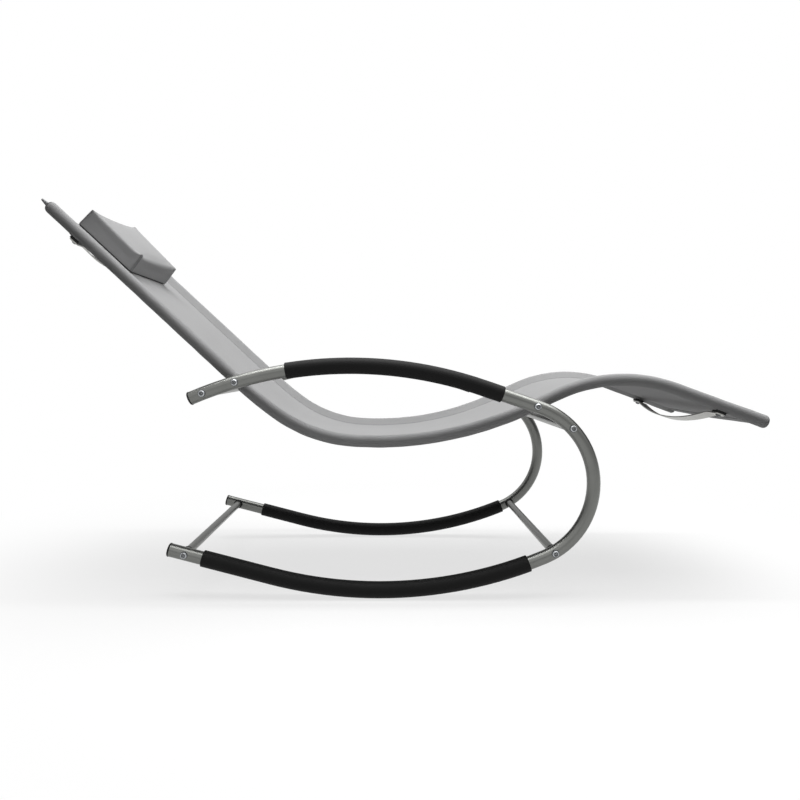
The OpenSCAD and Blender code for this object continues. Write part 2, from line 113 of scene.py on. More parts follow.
world = bpy.data.worlds.new("white studio")
world.use_nodes = True
scene.world = world
tree = world.node_tree
tree.nodes.clear()
path = node(tree, "ShaderNodeLightPath", {})
way = node(tree, "ShaderNodeTexCoord", {})
way = node(tree, "ShaderNodeSeparateXYZ", {0: way.outputs["Generated"]})
wall = node(
    tree,
    "ShaderNodeMapRange",
    {
        "Value": way.outputs["Z"],
        "From Min": WALL_LOW,
        "From Max": WALL_HIGH,
        "To Min": WALL_DIM,
        "To Max": 1,
    },
    interpolation_type="SMOOTHSTEP",
)
wall = node(
    tree, "ShaderNodeMath", {0: wall.outputs[0], 1: path.outputs["Is Camera Ray"]}, operation="MAXIMUM"
)
dim = node(tree, "ShaderNodeBackground", {"Color": WHITE, "Strength": DIM_LIGHT})
white = node(tree, "ShaderNodeBackground", {"Color": WHITE, "Strength": wall.outputs[0]})
both = node(
    tree, "ShaderNodeMixShader", {0: in_sight(tree, path), 1: dim.outputs[0], 2: white.outputs[0]}
)
node(tree, "ShaderNodeOutputWorld", {"Surface": both.outputs[0]})

# ---------------------------------------------------------------- floor
# A sheet of matt white paper. It takes a soft shadow near the chair and fades into the surround further
# out, and it throws back less light than it shows, which keeps the chair's undersides dark.
FLOOR_SIZE = 60
FLOOR_BACK = 12  # the sheet's middle lies this far behind the chair
FLOOR_GAP = 0.0005  # and this far under the runners, so that the two don't flicker
# Within the first distance of the chair this share of the paper glows, and beyond the second all of it.
SHADOW_NEAR, SHADOW_FAR, SHADOW_GLOW = 0.7, 1.5, 0.72
# The share of light that it throws back falls from the first value to the second between these distances.
BOUNCE_NEAR, BOUNCE_FAR = 0.75, 1.4
BOUNCE, BOUNCE_OUT = 0.55, 0.06


def linear(code):
    """A hex colour as the linear RGBA that the nodes take."""
    parts = [int(code[i : i + 2], 16) / 255 for i in (1, 3, 5)]
    return [c / 12.92 if c <= 0.04045 else ((c + 0.055) / 1.055) ** 2.4 for c in parts] + [1]


def material(name, colour, **values):
    """A new material, its tree and its Principled node, with constants set on the node's own sockets."""
    made = bpy.data.materials.new(name)
    made.use_nodes = True
    shader = made.node_tree.nodes["Principled BSDF"]
    shader.inputs["Base Color"].default_value = linear(colour)
    for key, value in values.items():
        shader.inputs[key.replace("_", " ")].default_value = value
    return made, made.node_tree, shader


bpy.ops.mesh.primitive_plane_add(size=FLOOR_SIZE, location=(0, FLOOR_BACK, -FLOOR_GAP))
floor = bpy.context.object
floor.name = "floor"

# Paper is dull and white all over. Near the chair a part of it is lit and shaded, the rest glows white.
paper, tree, shader = material("matte white floor", "#ffffff", Roughness=0.9)
glow = node(tree, "ShaderNodeEmission", {"Color": WHITE, "Strength": 1})
where = node(tree, "ShaderNodeTexCoord", {})
from_chair = node(
    tree,
    "ShaderNodeVectorMath",
    {0: where.outputs["Object"], 1: (0, -FLOOR_BACK, 0)},
    operation="DISTANCE",
).outputs["Value"]
fade = node(
    tree,
    "ShaderNodeMapRange",
    {
        "Value": from_chair,
        "From Min": SHADOW_NEAR,
        "From Max": SHADOW_FAR,
        "To Min": SHADOW_GLOW,
        "To Max": 1,
    },
    interpolation_type="SMOOTHSTEP",
)
bounce = node(
    tree,
    "ShaderNodeMapRange",
    {
        "Value": from_chair,
        "From Min": BOUNCE_NEAR,
        "From Max": BOUNCE_FAR,
        "To Min": BOUNCE,
        "To Max": BOUNCE_OUT,
    },
    interpolation_type="SMOOTHSTEP",
)
seen = node(tree, "ShaderNodeMixShader", {0: fade.outputs[0], 1: shader.outputs[0], 2: glow.outputs[0]})
unseen = node(tree, "ShaderNodeBsdfDiffuse", {"Color": bounce.outputs[0]})
path = node(tree, "ShaderNodeLightPath", {})
both = node(
    tree, "ShaderNodeMixShader", {0: in_sight(tree, path), 1: unseen.outputs[0], 2: seen.outputs[0]}
)
tree.links.new(both.outputs[0], tree.nodes["Material Output"].inputs["Surface"])
paper.cycles.emission_sampling = "NONE"
floor.data.materials.append(paper)

# ---------------------------------------------------------------- side tubes, seat rails and crossbars
# Steel tube, 30 mm for the two bent sides, 25 mm for the seat rails and 19 mm for the crossbars. It is bent
# cold and then powder-coated in silver grey, and bolts hold it together.
COAT_CLOUD = 0.07  # the coat's thickness, and with it its tone, changes over some 70 mm
FLAKE = 0.0007  # its flakes are under 0.1 mm and wouldn't show, so they are drawn at 0.7 mm


def mottle(tree, shader, size, detail, dark, light):
    """Lets a surface's colour waver between two tones over that size in metres. Gives the noise back."""
    where = node(tree, "ShaderNodeTexCoord", {})
    inputs = {"Vector": where.outputs["Object"], "Scale": 1 / size, "Detail": detail}
    cloud = node(tree, "ShaderNodeTexNoise", inputs).outputs["Fac"]
    tone = node(tree, "ShaderNodeValToRGB", {"Fac": cloud})
    tone.color_ramp.elements[0].color = linear(dark)
    tone.color_ramp.elements[1].color = linear(light)
    tree.links.new(tone.outputs[0], shader.inputs["Base Color"])
    return cloud


def dress(finish, *names):
    """Gives CAD nodes their finish."""
    for name in names:
        mesh = frame["nodes"][name].data
        mesh.materials.clear()
        mesh.materials.append(finish)


# The baked powder gives the eye a half-metallic grey with a satin gloss and the faintest grain.
steel, tree, shader = material("silver powder coat", "#7b7c79", Metallic=0.82, Roughness=0.29)
cloud = mottle(tree, shader, COAT_CLOUD, 4, "#70716e", "#7e7f7c")
gloss = node(tree, "ShaderNodeMapRange", {"Value": cloud, "To Min": 0.26, "To Max": 0.34})
tree.links.new(gloss.outputs[0], shader.inputs["Roughness"])
where = node(tree, "ShaderNodeTexCoord", {})
inputs = {"Vector": where.outputs["Object"], "Scale": 1 / FLAKE, "Detail": 2}
flakes = node(tree, "ShaderNodeTexNoise", inputs)
inputs = {"Height": flakes.outputs["Fac"], "Strength": 0.012, "Distance": 0.0002}
relief = node(tree, "ShaderNodeBump", inputs)
tree.links.new(relief.outputs[0], shader.inputs["Normal"])
dress(
    steel,
    "side_frame_right",
    "side_frame_left",
    "seat_rail_right",
    "seat_rail_left",
    "lower_head_crossbar",
    "lower_foot_crossbar",
    "upper_foot_crossbar",
    "upper_head_crossbar",
)

# ---------------------------------------------------------------- braces
# Two bowed flat bars, 25 mm wide, of zinc-plated steel strip. Each is screwed up against a block under
# either rail and keeps the rails' ends apart.
ZINC_BLOOM = 0.016  # the plating's pale blooms are some 16 mm wide

# Zinc straight from the bath gives the eye a pale, even metal without a sharp reflection.
strip, tree, shader = material("zinc-plated strip", "#a8a8a4", Metallic=0.8, Roughness=0.36)
bloom = mottle(tree, shader, ZINC_BLOOM, 5, "#9e9e9a", "#b2b2ae")
relief = node(tree, "ShaderNodeBump", {"Height": bloom, "Strength": 0.1, "Distance": 0.0003})
tree.links.new(relief.outputs[0], shader.inputs["Normal"])
dress(strip, "head_brace", "foot_brace")

# ---------------------------------------------------------------- foam grips and runner sleeves
# Tubes of closed-cell foam with a skin, cut to length and pushed over the armrests and the runners before
# the end caps go in. The ones on the runners are what the chair rocks on.
PORE = 0.0011  # the pores are about half a millimetre, and are drawn at 1.1 mm to show
FOAM_CLOUD = 0.033  # and its skin's tone wavers over some 33 mm

# The foam gives the eye a dull black with hardly any gloss and a fine, dense grain.
foam, tree, shader = material("black foam", "#0d0d0d", Roughness=0.6, Specular_IOR_Level=0.16)
mottle(tree, shader, FOAM_CLOUD, 5, "#0b0b0b", "#121212")
where = node(tree, "ShaderNodeTexCoord", {})
pores = node(tree, "ShaderNodeTexVoronoi", {"Vector": where.outputs["Object"], "Scale": 1 / PORE})
relief = node(
    tree, "ShaderNodeBump", {"Height": pores.outputs["Distance"], "Strength": 0.35, "Distance": 0.0004}
)
tree.links.new(relief.outputs[0], shader.inputs["Normal"])
dress(foam, "arm_grip_right", "arm_grip_left", "runner_sleeve_right", "runner_sleeve_left")

# ---------------------------------------------------------------- caps, cups, spacers, blocks and plugs
# Injection-moulded polypropylene. Black ones cap the tubes' ends, cup the crossbars' ends, space the rails
# from the side tubes and block up the braces. The tapered plugs in the rails' ends are grey.
MOULD_GRAIN = 0.0006  # the mould's spark-worn grain, drawn about three times as coarse as it is

# The moulded plastic gives the eye an even black with a soft, slightly broken gloss.
black, tree, shader = material(
    "black moulded plastic", "#0e0e0e", Roughness=0.5, Specular_IOR_Level=0.2
)
where = node(tree, "ShaderNodeTexCoord", {})
grain = node(
    tree,
    "ShaderNodeTexNoise",
    {"Vector": where.outputs["Object"], "Scale": 1 / MOULD_GRAIN, "Detail": 3},
).outputs["Fac"]
gloss = node(tree, "ShaderNodeMapRange", {"Value": grain, "To Min": 0.38, "To Max": 0.56})
tree.links.new(gloss.outputs[0], shader.inputs["Roughness"])
relief = node(tree, "ShaderNodeBump", {"Height": grain, "Strength": 0.2, "Distance": 0.0002})
tree.links.new(relief.outputs[0], shader.inputs["Normal"])
dress(
    black,
    "runner_end_cap_right",
    "runner_end_cap_left",
    "arm_end_cap_right",
    "arm_end_cap_left",
    "crossbar_saddles",
    "seat_spacers",
    "brace_saddles",
)
grey = black.copy()
grey.name = "grey moulded plastic"
grey.node_tree.nodes["Principled BSDF"].inputs["Base Color"].default_value = linear("#8f9092")
dress(
    grey,
    "rail_head_plug_right",
    "rail_head_plug_left",
    "rail_foot_plug_right",
    "rail_foot_plug_left",
)

# ---------------------------------------------------------------- bolts, washers, screws and nuts
# Turned and stamped steel with zinc plate: button head bolts with hexagon sockets, curved washers under
# them, screws in the braces, threaded plugs in the crossbars and rivet nuts in the rails.
ZINC_GRAIN = 0.0016  # the plate's crystals are too fine to show, so its grain is drawn at 1.6 mm
HEAD_FROM = 0.3195  # the outer part of a bolt's head lies beyond this from the chair's middle
FACE_AT = 0.3199  # its flat face lies beyond this
SOCKET_FLOOR = 0.3170  # and its socket reaches in to here
FACE_RADIUS, SOCKET_RADIUS = 0.0052, 0.0034
NET = 25  # heads are told apart on a net with this many cells to a metre


def plated(name, dark, light, metallic, roughness):
    """Zinc plate between two tones."""
    made, tree, shader = material(name, light, Metallic=metallic, Roughness=roughness)
    grain = mottle(tree, shader, ZINC_GRAIN, 4, dark, light)
    relief = node(tree, "ShaderNodeBump", {"Height": grain, "Strength": 0.1, "Distance": 0.0002})
    tree.links.new(relief.outputs[0], shader.inputs["Normal"])
    return made


# The plating gives the eye a bright, cool metal on a head's round edge. The washers are duller and darker.
# A head's flat face is painted darker, which is painted shade, and its socket pale and matt, a painted
# highlight.
bright_zinc = plated("zinc plate", "#a6aaad", "#c0c2c4", 1, 0.28)
dull_and_shaded_zinc = plated("dull zinc plate with painted shade", "#5e6062", "#6c6e70", 0.7, 0.5)
socket_painted_highlight = plated("zinc plate in the socket with painted highlight", "#b4b6b8", "#c6c8ca", 0.2, 0.6)
dress(
    bright_zinc,
    "crossbar_bolts",
    "crossbar_plugs",
    "seat_bolts",
    "seat_rivet_nuts",
    "brace_rivet_nuts",
)
dress(dull_and_shaded_zinc, "crossbar_washers", "seat_washers", "brace_screws")
for name in ("crossbar_bolts", "seat_bolts"):
    mesh = frame["nodes"][name].data
    mesh.materials.append(dull_and_shaded_zinc)
    mesh.materials.append(socket_painted_highlight)
    centres = [frame["nodes"][name].matrix_world @ part.center for part in mesh.polygons]
    heads = {}
    for c in centres:
        if abs(c.y) > HEAD_FROM:
            cell = (round(c.x * NET), round(c.z * NET), c.y > 0)
            heads.setdefault(cell, []).append(c)
    axes = [sum(group, Vector()) / len(group) for group in heads.values()]
    # A head's flat face gets the dull copy as painted shade, and its socket the pale copy as a painted
    # highlight.
    for part, c in zip(mesh.polygons, centres):
        off = min(math.hypot(c.x - axis.x, c.z - axis.z) for axis in axes)
        if abs(c.y) > FACE_AT and off < FACE_RADIUS:
            part.material_index = 1
        elif SOCKET_FLOOR < abs(c.y) < FACE_AT and off < SOCKET_RADIUS:
            part.material_index = 2

# ---------------------------------------------------------------- pillow straps and grips
# Black webbing. Two straps lie over the panel's head hem, and two short grips are sewn under the pillow,
# which hold it by friction where the sitter slides it.
TAPE_RIB = 0.0014  # the ribs of the weave are 1.4 mm apart

# Webbing gives the eye a dull black with fine ribs and no gloss.
tape, tree, shader = material("black woven tape", "#1b1b1c", Roughness=0.85)
ribs = mottle(tree, shader, TAPE_RIB, 2, "#161617", "#2a2a2b")
relief = node(tree, "ShaderNodeBump", {"Height": ribs, "Strength": 0.4, "Distance": 0.0003})
tree.links.new(relief.outputs[0], shader.inputs["Normal"])
dress(tape, "pillow_straps", "pillow_grips")

# ---------------------------------------------------------------- sling panel
# One stretched sheet of woven, coated polyester, sewn to the two sleeves, with a hem turned under at each
# end. It sags a few millimetres between the rails and puckers a little along the seams.
CLOTH = 0.0012  # its thickness
HALF_WIDTH = 0.2513
HEM = 0.020
HEM_STEPS = 4
FOLD = 0.0013  # radius of the hem's fold
TUCKED = 0.00125  # how far the hem's raw edge lies under the sheet
FOLD_STEPS = 6
LENGTH_STEPS, WIDTH_STEPS = 300, 72

# The seat rail's line in side view, as it is bent: each stretch's length and its radius, which is 0 where
# the rail is straight and below 0 where it bends down.
RAIL = [
    (0.598, 0),
    (0.828 * math.radians(7.07), 0.828),
    (0.339 * math.radians(32), 0.339),
    (0.812 * math.radians(28.7), 0.812),
    (0.075, 0),
    (0.352 * math.radians(45.2), -0.352),
    (0.218, 0),
]
RAIL_LENGTH = sum(length for length, radius in RAIL)
RAIL_HEAD_X = TOUCH - 0.7522
RAIL_HEAD_Z = 0.8811
RAIL_HEAD_SLOPE = math.radians(-42.86)
START, END = 0.020, RAIL_LENGTH - 0.006  # where the panel starts and ends along the rail


def on_rail(s, h=0.0, y=0.0):
    """The point at length s along the rail's line, h over it and y to the sitter's left."""
    x, z, a = RAIL_HEAD_X, RAIL_HEAD_Z, RAIL_HEAD_SLOPE
    for i, (length, radius) in enumerate(RAIL):
        run = s if i == len(RAIL) - 1 else min(s, length)
        if radius:
            b = a + run / radius
            x += radius * (math.sin(b) - math.sin(a))
            z -= radius * (math.cos(b) - math.cos(a))
            a = b
        else:
            x += run * math.cos(a)
            z += run * math.sin(a)
        s -= run
        if s <= 0:
            break
    return Vector((x - h * math.sin(a), y, z + h * math.cos(a)))


def smooth(low, high, value):
    """0 below low, 1 above high and a soft step between them."""
    t = min(1, max(0, (value - low) / (high - low)))
    return t * t * (3 - 2 * t)


SAG = 0.0055
SAG_FROM, SAG_FULL = 0.2, 0.5  # lengths along the rails between which the sag grows
EASE_FROM, EASE_TO, EASE = 1.45, 1.85, 0.55  # and between which it loses that share
SAG_POWER = 2.4  # the sag is flatter than a parabola in the middle
SEAM_UNDER_LINE = 0.0046  # the panel is sewn on this far under the rails' line
PUCKER = 0.0010
PUCKER_REACH = 0.035  # puckers die out within this distance of a seam
PUCKER_FROM, PUCKER_FULL = 0.25, 0.6
PULL_AT, PULL_SLANT, PULL_WIDTH, PULL_DEPTH = 0.215, 0.32, 0.016, 0.0016
PULL_MIDDLE = 0.12
PULL_FROM, PULL_FULL, PULL_FADES, PULL_TO = 0.02, 0.09, 0.2, 0.25


def panel_point(s, y, under=0.0):
    """A point of the panel at length s and y across. under is how far a hem's layer lies below."""
    share = abs(y) / HALF_WIDTH
    sag = SAG * smooth(SAG_FROM, SAG_FULL, s) * (1 - EASE * smooth(EASE_FROM, EASE_TO, s))
    h = -SEAM_UNDER_LINE - sag * (1 - share**SAG_POWER) - under
    by_seam = math.exp(-(HALF_WIDTH - abs(y)) / PUCKER_REACH)
    # Puckers some 40 and 16 mm apart along the seams, and long, low waves between them.
    pucker = noise.noise(Vector((s * 23, y * 3, 4.2)))
    pucker += 0.6 * noise.noise(Vector((s * 61, y * 9, 1.7)))
    h += PUCKER * by_seam * pucker * smooth(PUCKER_FROM, PUCKER_FULL, s)
    h += PUCKER * noise.noise(Vector((s * 4.5, y * 7, 9.1))) * (1 - by_seam)
    # A shallow pull runs slantwise from under each of the pillow's sides.
    pull = (s - PULL_AT) + PULL_SLANT * (abs(y) - PULL_MIDDLE)
    here = smooth(PULL_FROM, PULL_FULL, abs(y)) * (1 - smooth(PULL_FADES, PULL_TO, abs(y)))
    h -= PULL_DEPTH * math.exp(-((pull / PULL_WIDTH) ** 2)) * here
    return on_rail(s, h, y)


def lattice(name, columns, uv, closed=False, skip=None):
    """A mesh over columns of points. closed joins the last to the first, skip(i, k) leaves a face out."""
    mesh = bpy.data.meshes.new(name)
    rows = len(columns[0])
    faces, loops = [], []
    for i in range(len(columns) if closed else len(columns) - 1):
        j = (i + 1) % len(columns)
        for k in range(rows - 1):
            if skip is None or not skip(i, k):
                faces.append((i * rows + k, i * rows + k + 1, j * rows + k + 1, j * rows + k))
                loops += [(i, k), (i, k + 1), (i + 1, k + 1), (i + 1, k)]
    mesh.from_pydata([point for column in columns for point in column], [], faces)
    layer = mesh.uv_layers.new(name="UVMap")
    for loop, (i, k) in zip(layer.data, loops):
        loop.uv = uv(i, k)
    made = bpy.data.objects.new(name, mesh)
    scene.collection.objects.link(made)
    return made


def select(piece):
    """Makes it the one piece that operators act on."""
    bpy.ops.object.select_all(action="DESELECT")
    piece.select_set(True)
    bpy.context.view_layer.objects.active = piece


def face_outward(piece):
    """Turns all the faces of a closed or open shell to one side, which is its outside."""
    select(piece)
    bpy.ops.object.mode_set(mode="EDIT")
    bpy.ops.mesh.select_all(action="SELECT")
    bpy.ops.mesh.normals_make_consistent(inside=False)
    bpy.ops.object.mode_set(mode="OBJECT")


def thicken(piece, thickness, offset):
    """Gives a sheet of cloth its thickness and smooths it."""
    face_outward(piece)
    bpy.ops.object.modifier_add(type="SOLIDIFY")
    piece.modifiers[-1].thickness = thickness
    piece.modifiers[-1].offset = offset
    bpy.ops.object.modifier_apply(modifier=piece.modifiers[-1].name)
    bpy.ops.object.shade_smooth_by_angle(angle=math.radians(50))


WARP, WEFT = "#999999", "#9f9fa0"
THREAD = "#77777a"
WARP_PITCH, WEFT_PITCH = 0.0011, 0.0009  # the threads' real spacing
CLOTH_CLOUD = 0.14  # the dye's tone wavers over some 140 mm
FLUFF = 0.0024  # the yarn's own unevenness
STITCH = 0.005  # one stitch and its gap
STITCH_SHARE = -0.4  # a sine above this is thread, which makes a stitch longer than its gap
STITCH_HALF_WIDTH = 0.0006


def woven(name, stitches=()):
    """Sling cloth of coated yarn. It gives the eye a dull light grey with a fine, even weave and a slight
    bloom at a low angle. The weave follows the UV map, which is in metres, and stitches are the places
    across the cloth of its rows of darker thread."""
    made, tree, shader = material(
        name, "#9c9c9d", Roughness=0.8, Sheen_Weight=0.15, Sheen_Roughness=0.5
    )
    uv = node(tree, "ShaderNodeUVMap", {})
    place = node(tree, "ShaderNodeSeparateXYZ", {0: uv.outputs[0]})

    def wave(axis, pitch):
        inputs = {0: place.outputs[axis], 1: 2 * math.pi / pitch}
        turn = node(tree, "ShaderNodeMath", inputs, operation="MULTIPLY")
        return node(tree, "ShaderNodeMath", {0: turn.outputs[0]}, operation="SINE").outputs[0]

    inputs = {0: wave("X", WARP_PITCH), 1: wave("Y", WEFT_PITCH)}
    weave = node(tree, "ShaderNodeMath", inputs, operation="MULTIPLY").outputs[0]
    cross = node(tree, "ShaderNodeMapRange", {"Value": weave, "From Min": -1, "From Max": 1})
    tone = node(tree, "ShaderNodeValToRGB", {"Fac": cross.outputs[0]})
    tone.color_ramp.elements[0].color = linear(WARP)
    tone.color_ramp.elements[1].color = linear(WEFT)
    where = node(tree, "ShaderNodeTexCoord", {})
    inputs = {"Vector": where.outputs["Object"], "Scale": 1 / CLOTH_CLOUD, "Detail": 5}
    cloud = node(tree, "ShaderNodeTexNoise", inputs)
    inputs = {"Value": cloud.outputs["Fac"], "To Min": 0.93, "To Max": 1.05}
    shade = node(tree, "ShaderNodeMapRange", inputs)
    inputs = {0: 1, 6: tone.outputs[0], 7: shade.outputs[0]}
    worn = node(tree, "ShaderNodeMix", inputs, data_type="RGBA", blend_type="MULTIPLY")
    colour = worn.outputs[2]
    inputs = {"Vector": where.outputs["Object"], "Scale": 1 / FLUFF, "Detail": 3}
    fluff = node(tree, "ShaderNodeTexNoise", inputs)
    inputs = {0: weave, 1: fluff.outputs["Fac"]}
    height = node(tree, "ShaderNodeMath", inputs, operation="ADD").outputs[0]
    if stitches:
        inputs = {0: wave("Y", STITCH), 1: STITCH_SHARE}
        sewn = node(tree, "ShaderNodeMath", inputs, operation="GREATER_THAN").outputs[0]
        row = None
        for at in stitches:
            inputs = {0: place.outputs["X"], 1: at, 2: STITCH_HALF_WIDTH}
            here = node(tree, "ShaderNodeMath", inputs, operation="COMPARE").outputs[0]
            if row is None:
                row = here
            else:
                row = node(tree, "ShaderNodeMath", {0: row, 1: here}, operation="MAXIMUM").outputs[0]
        sewn = node(tree, "ShaderNodeMath", {0: row, 1: sewn}, operation="MULTIPLY").outputs[0]
        inputs = {0: sewn, 6: colour, 7: linear(THREAD)}
        colour = node(tree, "ShaderNodeMix", inputs, data_type="RGBA").outputs[2]
        inputs = {0: sewn, 1: -3, 2: height}
        height = node(tree, "ShaderNodeMath", inputs, operation="MULTIPLY_ADD").outputs[0]
    tree.links.new(colour, shader.inputs["Base Color"])
    relief = node(tree, "ShaderNodeBump", {"Height": height, "Strength": 0.08, "Distance": 0.0003})
    tree.links.new(relief.outputs[0], shader.inputs["Normal"])
    return made


# The panel's outline lengthwise, as (length along the rail, depth under the sheet): the head hem from its
# raw edge, its fold, the sheet, the foot hem's fold and the foot hem.
half_turn = [math.pi * i / FOLD_STEPS for i in range(FOLD_STEPS + 1)]
hem = [(i / HEM_STEPS, TUCKED + (2 * FOLD - TUCKED) * (i / HEM_STEPS) ** 2) for i in range(HEM_STEPS)]
outline = [(START + HEM * (1 - part), depth) for part, depth in hem]
outline += [(START - FOLD * math.sin(a), FOLD * (1 + math.cos(a))) for a in half_turn]
outline += [(START + (END - START) * i / LENGTH_STEPS, 0.0) for i in range(1, LENGTH_STEPS)]
outline += [(END + FOLD * math.sin(a), FOLD * (1 - math.cos(a))) for a in half_turn]
outline += [(END - HEM * (1 - part), depth) for part, depth in reversed(hem)]
along = [0.0]
for (s, h), (s2, h2) in zip(outline, outline[1:]):
    along.append(along[-1] + math.hypot(s2 - s, h2 - h))
across = [HALF_WIDTH * (2 * k / WIDTH_STEPS - 1) for k in range(WIDTH_STEPS + 1)]
panel = lattice(
    "sling_panel_cloth",
    [[panel_point(s, y, under) for s, under in outline] for y in across],
    lambda i, k: (across[i], along[k]),
)
thicken(panel, CLOTH, 0)
PANEL_STITCHES = [-0.238, 0.238]
panel.data.materials.append(woven("grey sling cloth", PANEL_STITCHES))
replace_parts(panel, "sling_panel")
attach(panel, "chair")

# ---------------------------------------------------------------- sling sleeves
# Two strips of the same cloth. Each is laid round its rail and sewn to itself and to the panel, which makes
# its section a drop. Its head end is gathered round the plug, and windows let the braces' blocks through.
RAIL_Y = 0.265
ROUND = 0.0140  # radius of the cloth round the rail
SEAM = 0.0120  # how far the seam's lip reaches beyond it
SEAM_DROP = 0.0052  # how far the lip's edge lies under the rail's line
LIP_FROM, LIP_FULL = 0.012, 0.034  # the lip grows between these distances from an end
BRACES = (0.101, RAIL_LENGTH - 0.110)  # where the braces' blocks stand along the rail
WINDOW = 0.0135  # half of a window's length
WINDOW_EDGE = 0.0118  # a window is open where the cloth is further than this under the rail's line
BLOCK_HALF = 0.0114  # the cloth beside a window is spread to this half width, to clear the block
BLOCK_NEAR, BLOCK_FAR = 0.012, 0.024  # along the rail, it comes back between these distances
UNDERSIDE = 0.0075  # only the cloth further than this under the rail's line is spread
FLAT_LOW, FLAT_HIGH = -0.0142, -0.0136  # and the lowest of it isn't
CREASE, LONG_CREASE = 0.0005, 0.0004
CREASE_FREE = 0.04  # creases die out within this distance of an end
GATHER, GATHERED = 0.011, 0.0072  # length of the gathered head end, and its radius
CLOSING, CLOSED = 0.008, 0.0085  # the same for the foot end
LOOSE = 0.0012  # the sleeve's radius grows by this near the foot end
LOOSE_FROM, LOOSE_FULL = 0.12, 0.03  # between these distances from it
DOME, DOME_FALL = 0.0013, 0.2  # the closed foot end's height, and how fast it falls
HEAD_DARK_END, FOOT_DARK_END = 0.0045, 0.003  # widths of the black bands at the two ends
STITCH_INSET = 0.003  # the two rows of stitching lie this far from the strip's edges
TURN_STEPS, LIP_STEPS, GATHER_STEPS, CLOSING_STEPS = 60, 8, 9, 8


def sleeve_radius(s):
    """Radius at length s. The sleeve is gathered at the head end and closed at the foot end."""
    head = min(1, s / GATHER)
    foot = min(1, (RAIL_LENGTH - s) / CLOSING)
    full = ROUND + LOOSE * smooth(RAIL_LENGTH - LOOSE_FROM, RAIL_LENGTH - LOOSE_FULL, s)
    full = GATHERED + (full - GATHERED) * math.sqrt(1 - (1 - head) ** 2)
    return CLOSED + (full - CLOSED) * math.sqrt(1 - (1 - foot) ** 2)


# The stations along the rail are close together at the rounded ends, and some fall on the windows' ends.
quarter = [1 - math.cos(math.pi / 2 * i / GATHER_STEPS) for i in range(GATHER_STEPS + 1)]
cuts = {GATHER * part for part in quarter} | {HEAD_DARK_END}
quarter = [1 - math.cos(math.pi / 2 * i / CLOSING_STEPS) for i in range(CLOSING_STEPS + 1)]
cuts |= {RAIL_LENGTH - CLOSING * part for part in quarter}
between = RAIL_LENGTH - GATHER - CLOSING
cuts |= {GATHER + between * i / LENGTH_STEPS for i in range(1, LENGTH_STEPS)}
TOO_NEAR = 0.002
cuts = [s for s in cuts if all(abs(abs(s - brace) - WINDOW) > TOO_NEAR for brace in BRACES)]
cuts = sorted(cuts + [brace + side * WINDOW for brace in BRACES for side in (-1, 1)])
stations = [(s, sleeve_radius(s)) for s in cuts]
for r in (0.0065, 0.0045, 0.0025, 0.0005):
    stations.append((RAIL_LENGTH + DOME - DOME_FALL * r * r / ROUND, r))


def drop(s, radius, side):
    """The sleeve's outline at length s as (out from the rail, up), starting and ending at the seam."""
    end = min(s, RAIL_LENGTH - s)
    lip = smooth(LIP_FROM, LIP_FULL, end)
    seam = Vector((-(ROUND + SEAM * lip), -SEAM_DROP * lip))
    toward = math.atan2(seam.y, seam.x)
    open_by = math.acos(min(1, ROUND / seam.length))
    round_rail = 2 * math.pi - 2 * open_by
    turns = [toward - open_by - round_rail * k / TURN_STEPS for k in range(TURN_STEPS + 1)]
    by_block = max(1 - smooth(BLOCK_NEAR, BLOCK_FAR, abs(s - brace)) for brace in BRACES)
    around = []
    for a in turns:
        crease = noise.noise(Vector((s * 30, side * 5 + math.cos(a), math.sin(a)))) * CREASE
        crease += noise.noise(Vector((s * 9, side * 8, 3.3))) * LONG_CREASE
        crease *= smooth(0, CREASE_FREE, end)
        point = Vector((math.cos(a), math.sin(a))) * (ROUND + crease)
        if point.y < -UNDERSIDE:
            clear = BLOCK_HALF * smooth(FLAT_LOW, FLAT_HIGH, point.y)
            point.x += by_block * math.copysign(max(0, clear - abs(point.x)), point.x)
        around.append(point)
    shape = [seam.lerp(around[0], k / LIP_STEPS) for k in range(LIP_STEPS)] + around
    shape += [around[-1].lerp(seam, k / LIP_STEPS) for k in range(1, LIP_STEPS)]
    return [point * (radius / ROUND) for point in shape]


def sleeve(name, side):
    """One sleeve on its rail. side is -1 for the sitter's right and 1 for the left."""
    shapes = [drop(s, radius, side) for s, radius in stations]
    count = len(shapes[0])
    columns = [
        [
            on_rail(s, shape[k].y, side * (RAIL_Y + shape[k].x))
            for (s, radius), shape in zip(stations, shapes)
        ]
        for k in range(count)
    ]
    # The strip's width is measured round a plain section, half a metre along.
    way_round = [0.0]
    plain = drop(0.5, ROUND, side)
    for a, b in zip(plain, plain[1:] + plain[:1]):
        way_round.append(way_round[-1] + (b - a).length)

    def window(k, row):
        middle = (stations[row][0] + stations[row + 1][0]) / 2
        a, b = shapes[row][k], shapes[row][(k + 1) % count]
        by_brace = any(abs(middle - brace) < WINDOW for brace in BRACES)
        return by_brace and (a.y + b.y) / 2 < -WINDOW_EDGE

    made = lattice(
        name, columns, lambda i, k: (way_round[i], stations[k][0]), closed=True, skip=window
    )
    thicken(made, CLOTH, -1)
    lip_stitches = [STITCH_INSET, way_round[-1] - STITCH_INSET]
    made.data.materials.append(woven(name.replace("_", " "), lip_stitches))
    made.data.materials.append(tape)
    # The cloth at both ends is black, in the webbing's finish. It is found by its distance from them along
    # the rail.
    head = on_rail(0, 0, side * RAIL_Y)
    foot = on_rail(RAIL_LENGTH, 0, side * RAIL_Y)
    head_way = (on_rail(0.001, 0, side * RAIL_Y) - head).normalized()
    foot_way = (foot - on_rail(RAIL_LENGTH - 0.001, 0, side * RAIL_Y)).normalized()
    for part in made.data.polygons:
        from_head = (part.center - head).dot(head_way)
        from_foot = (part.center - foot).dot(foot_way)
        near_foot = (part.center - foot).length < 0.03
        if from_head < HEAD_DARK_END or (near_foot and from_foot > -FOOT_DARK_END):
            part.material_index = 1
    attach(made, "chair")
    return made


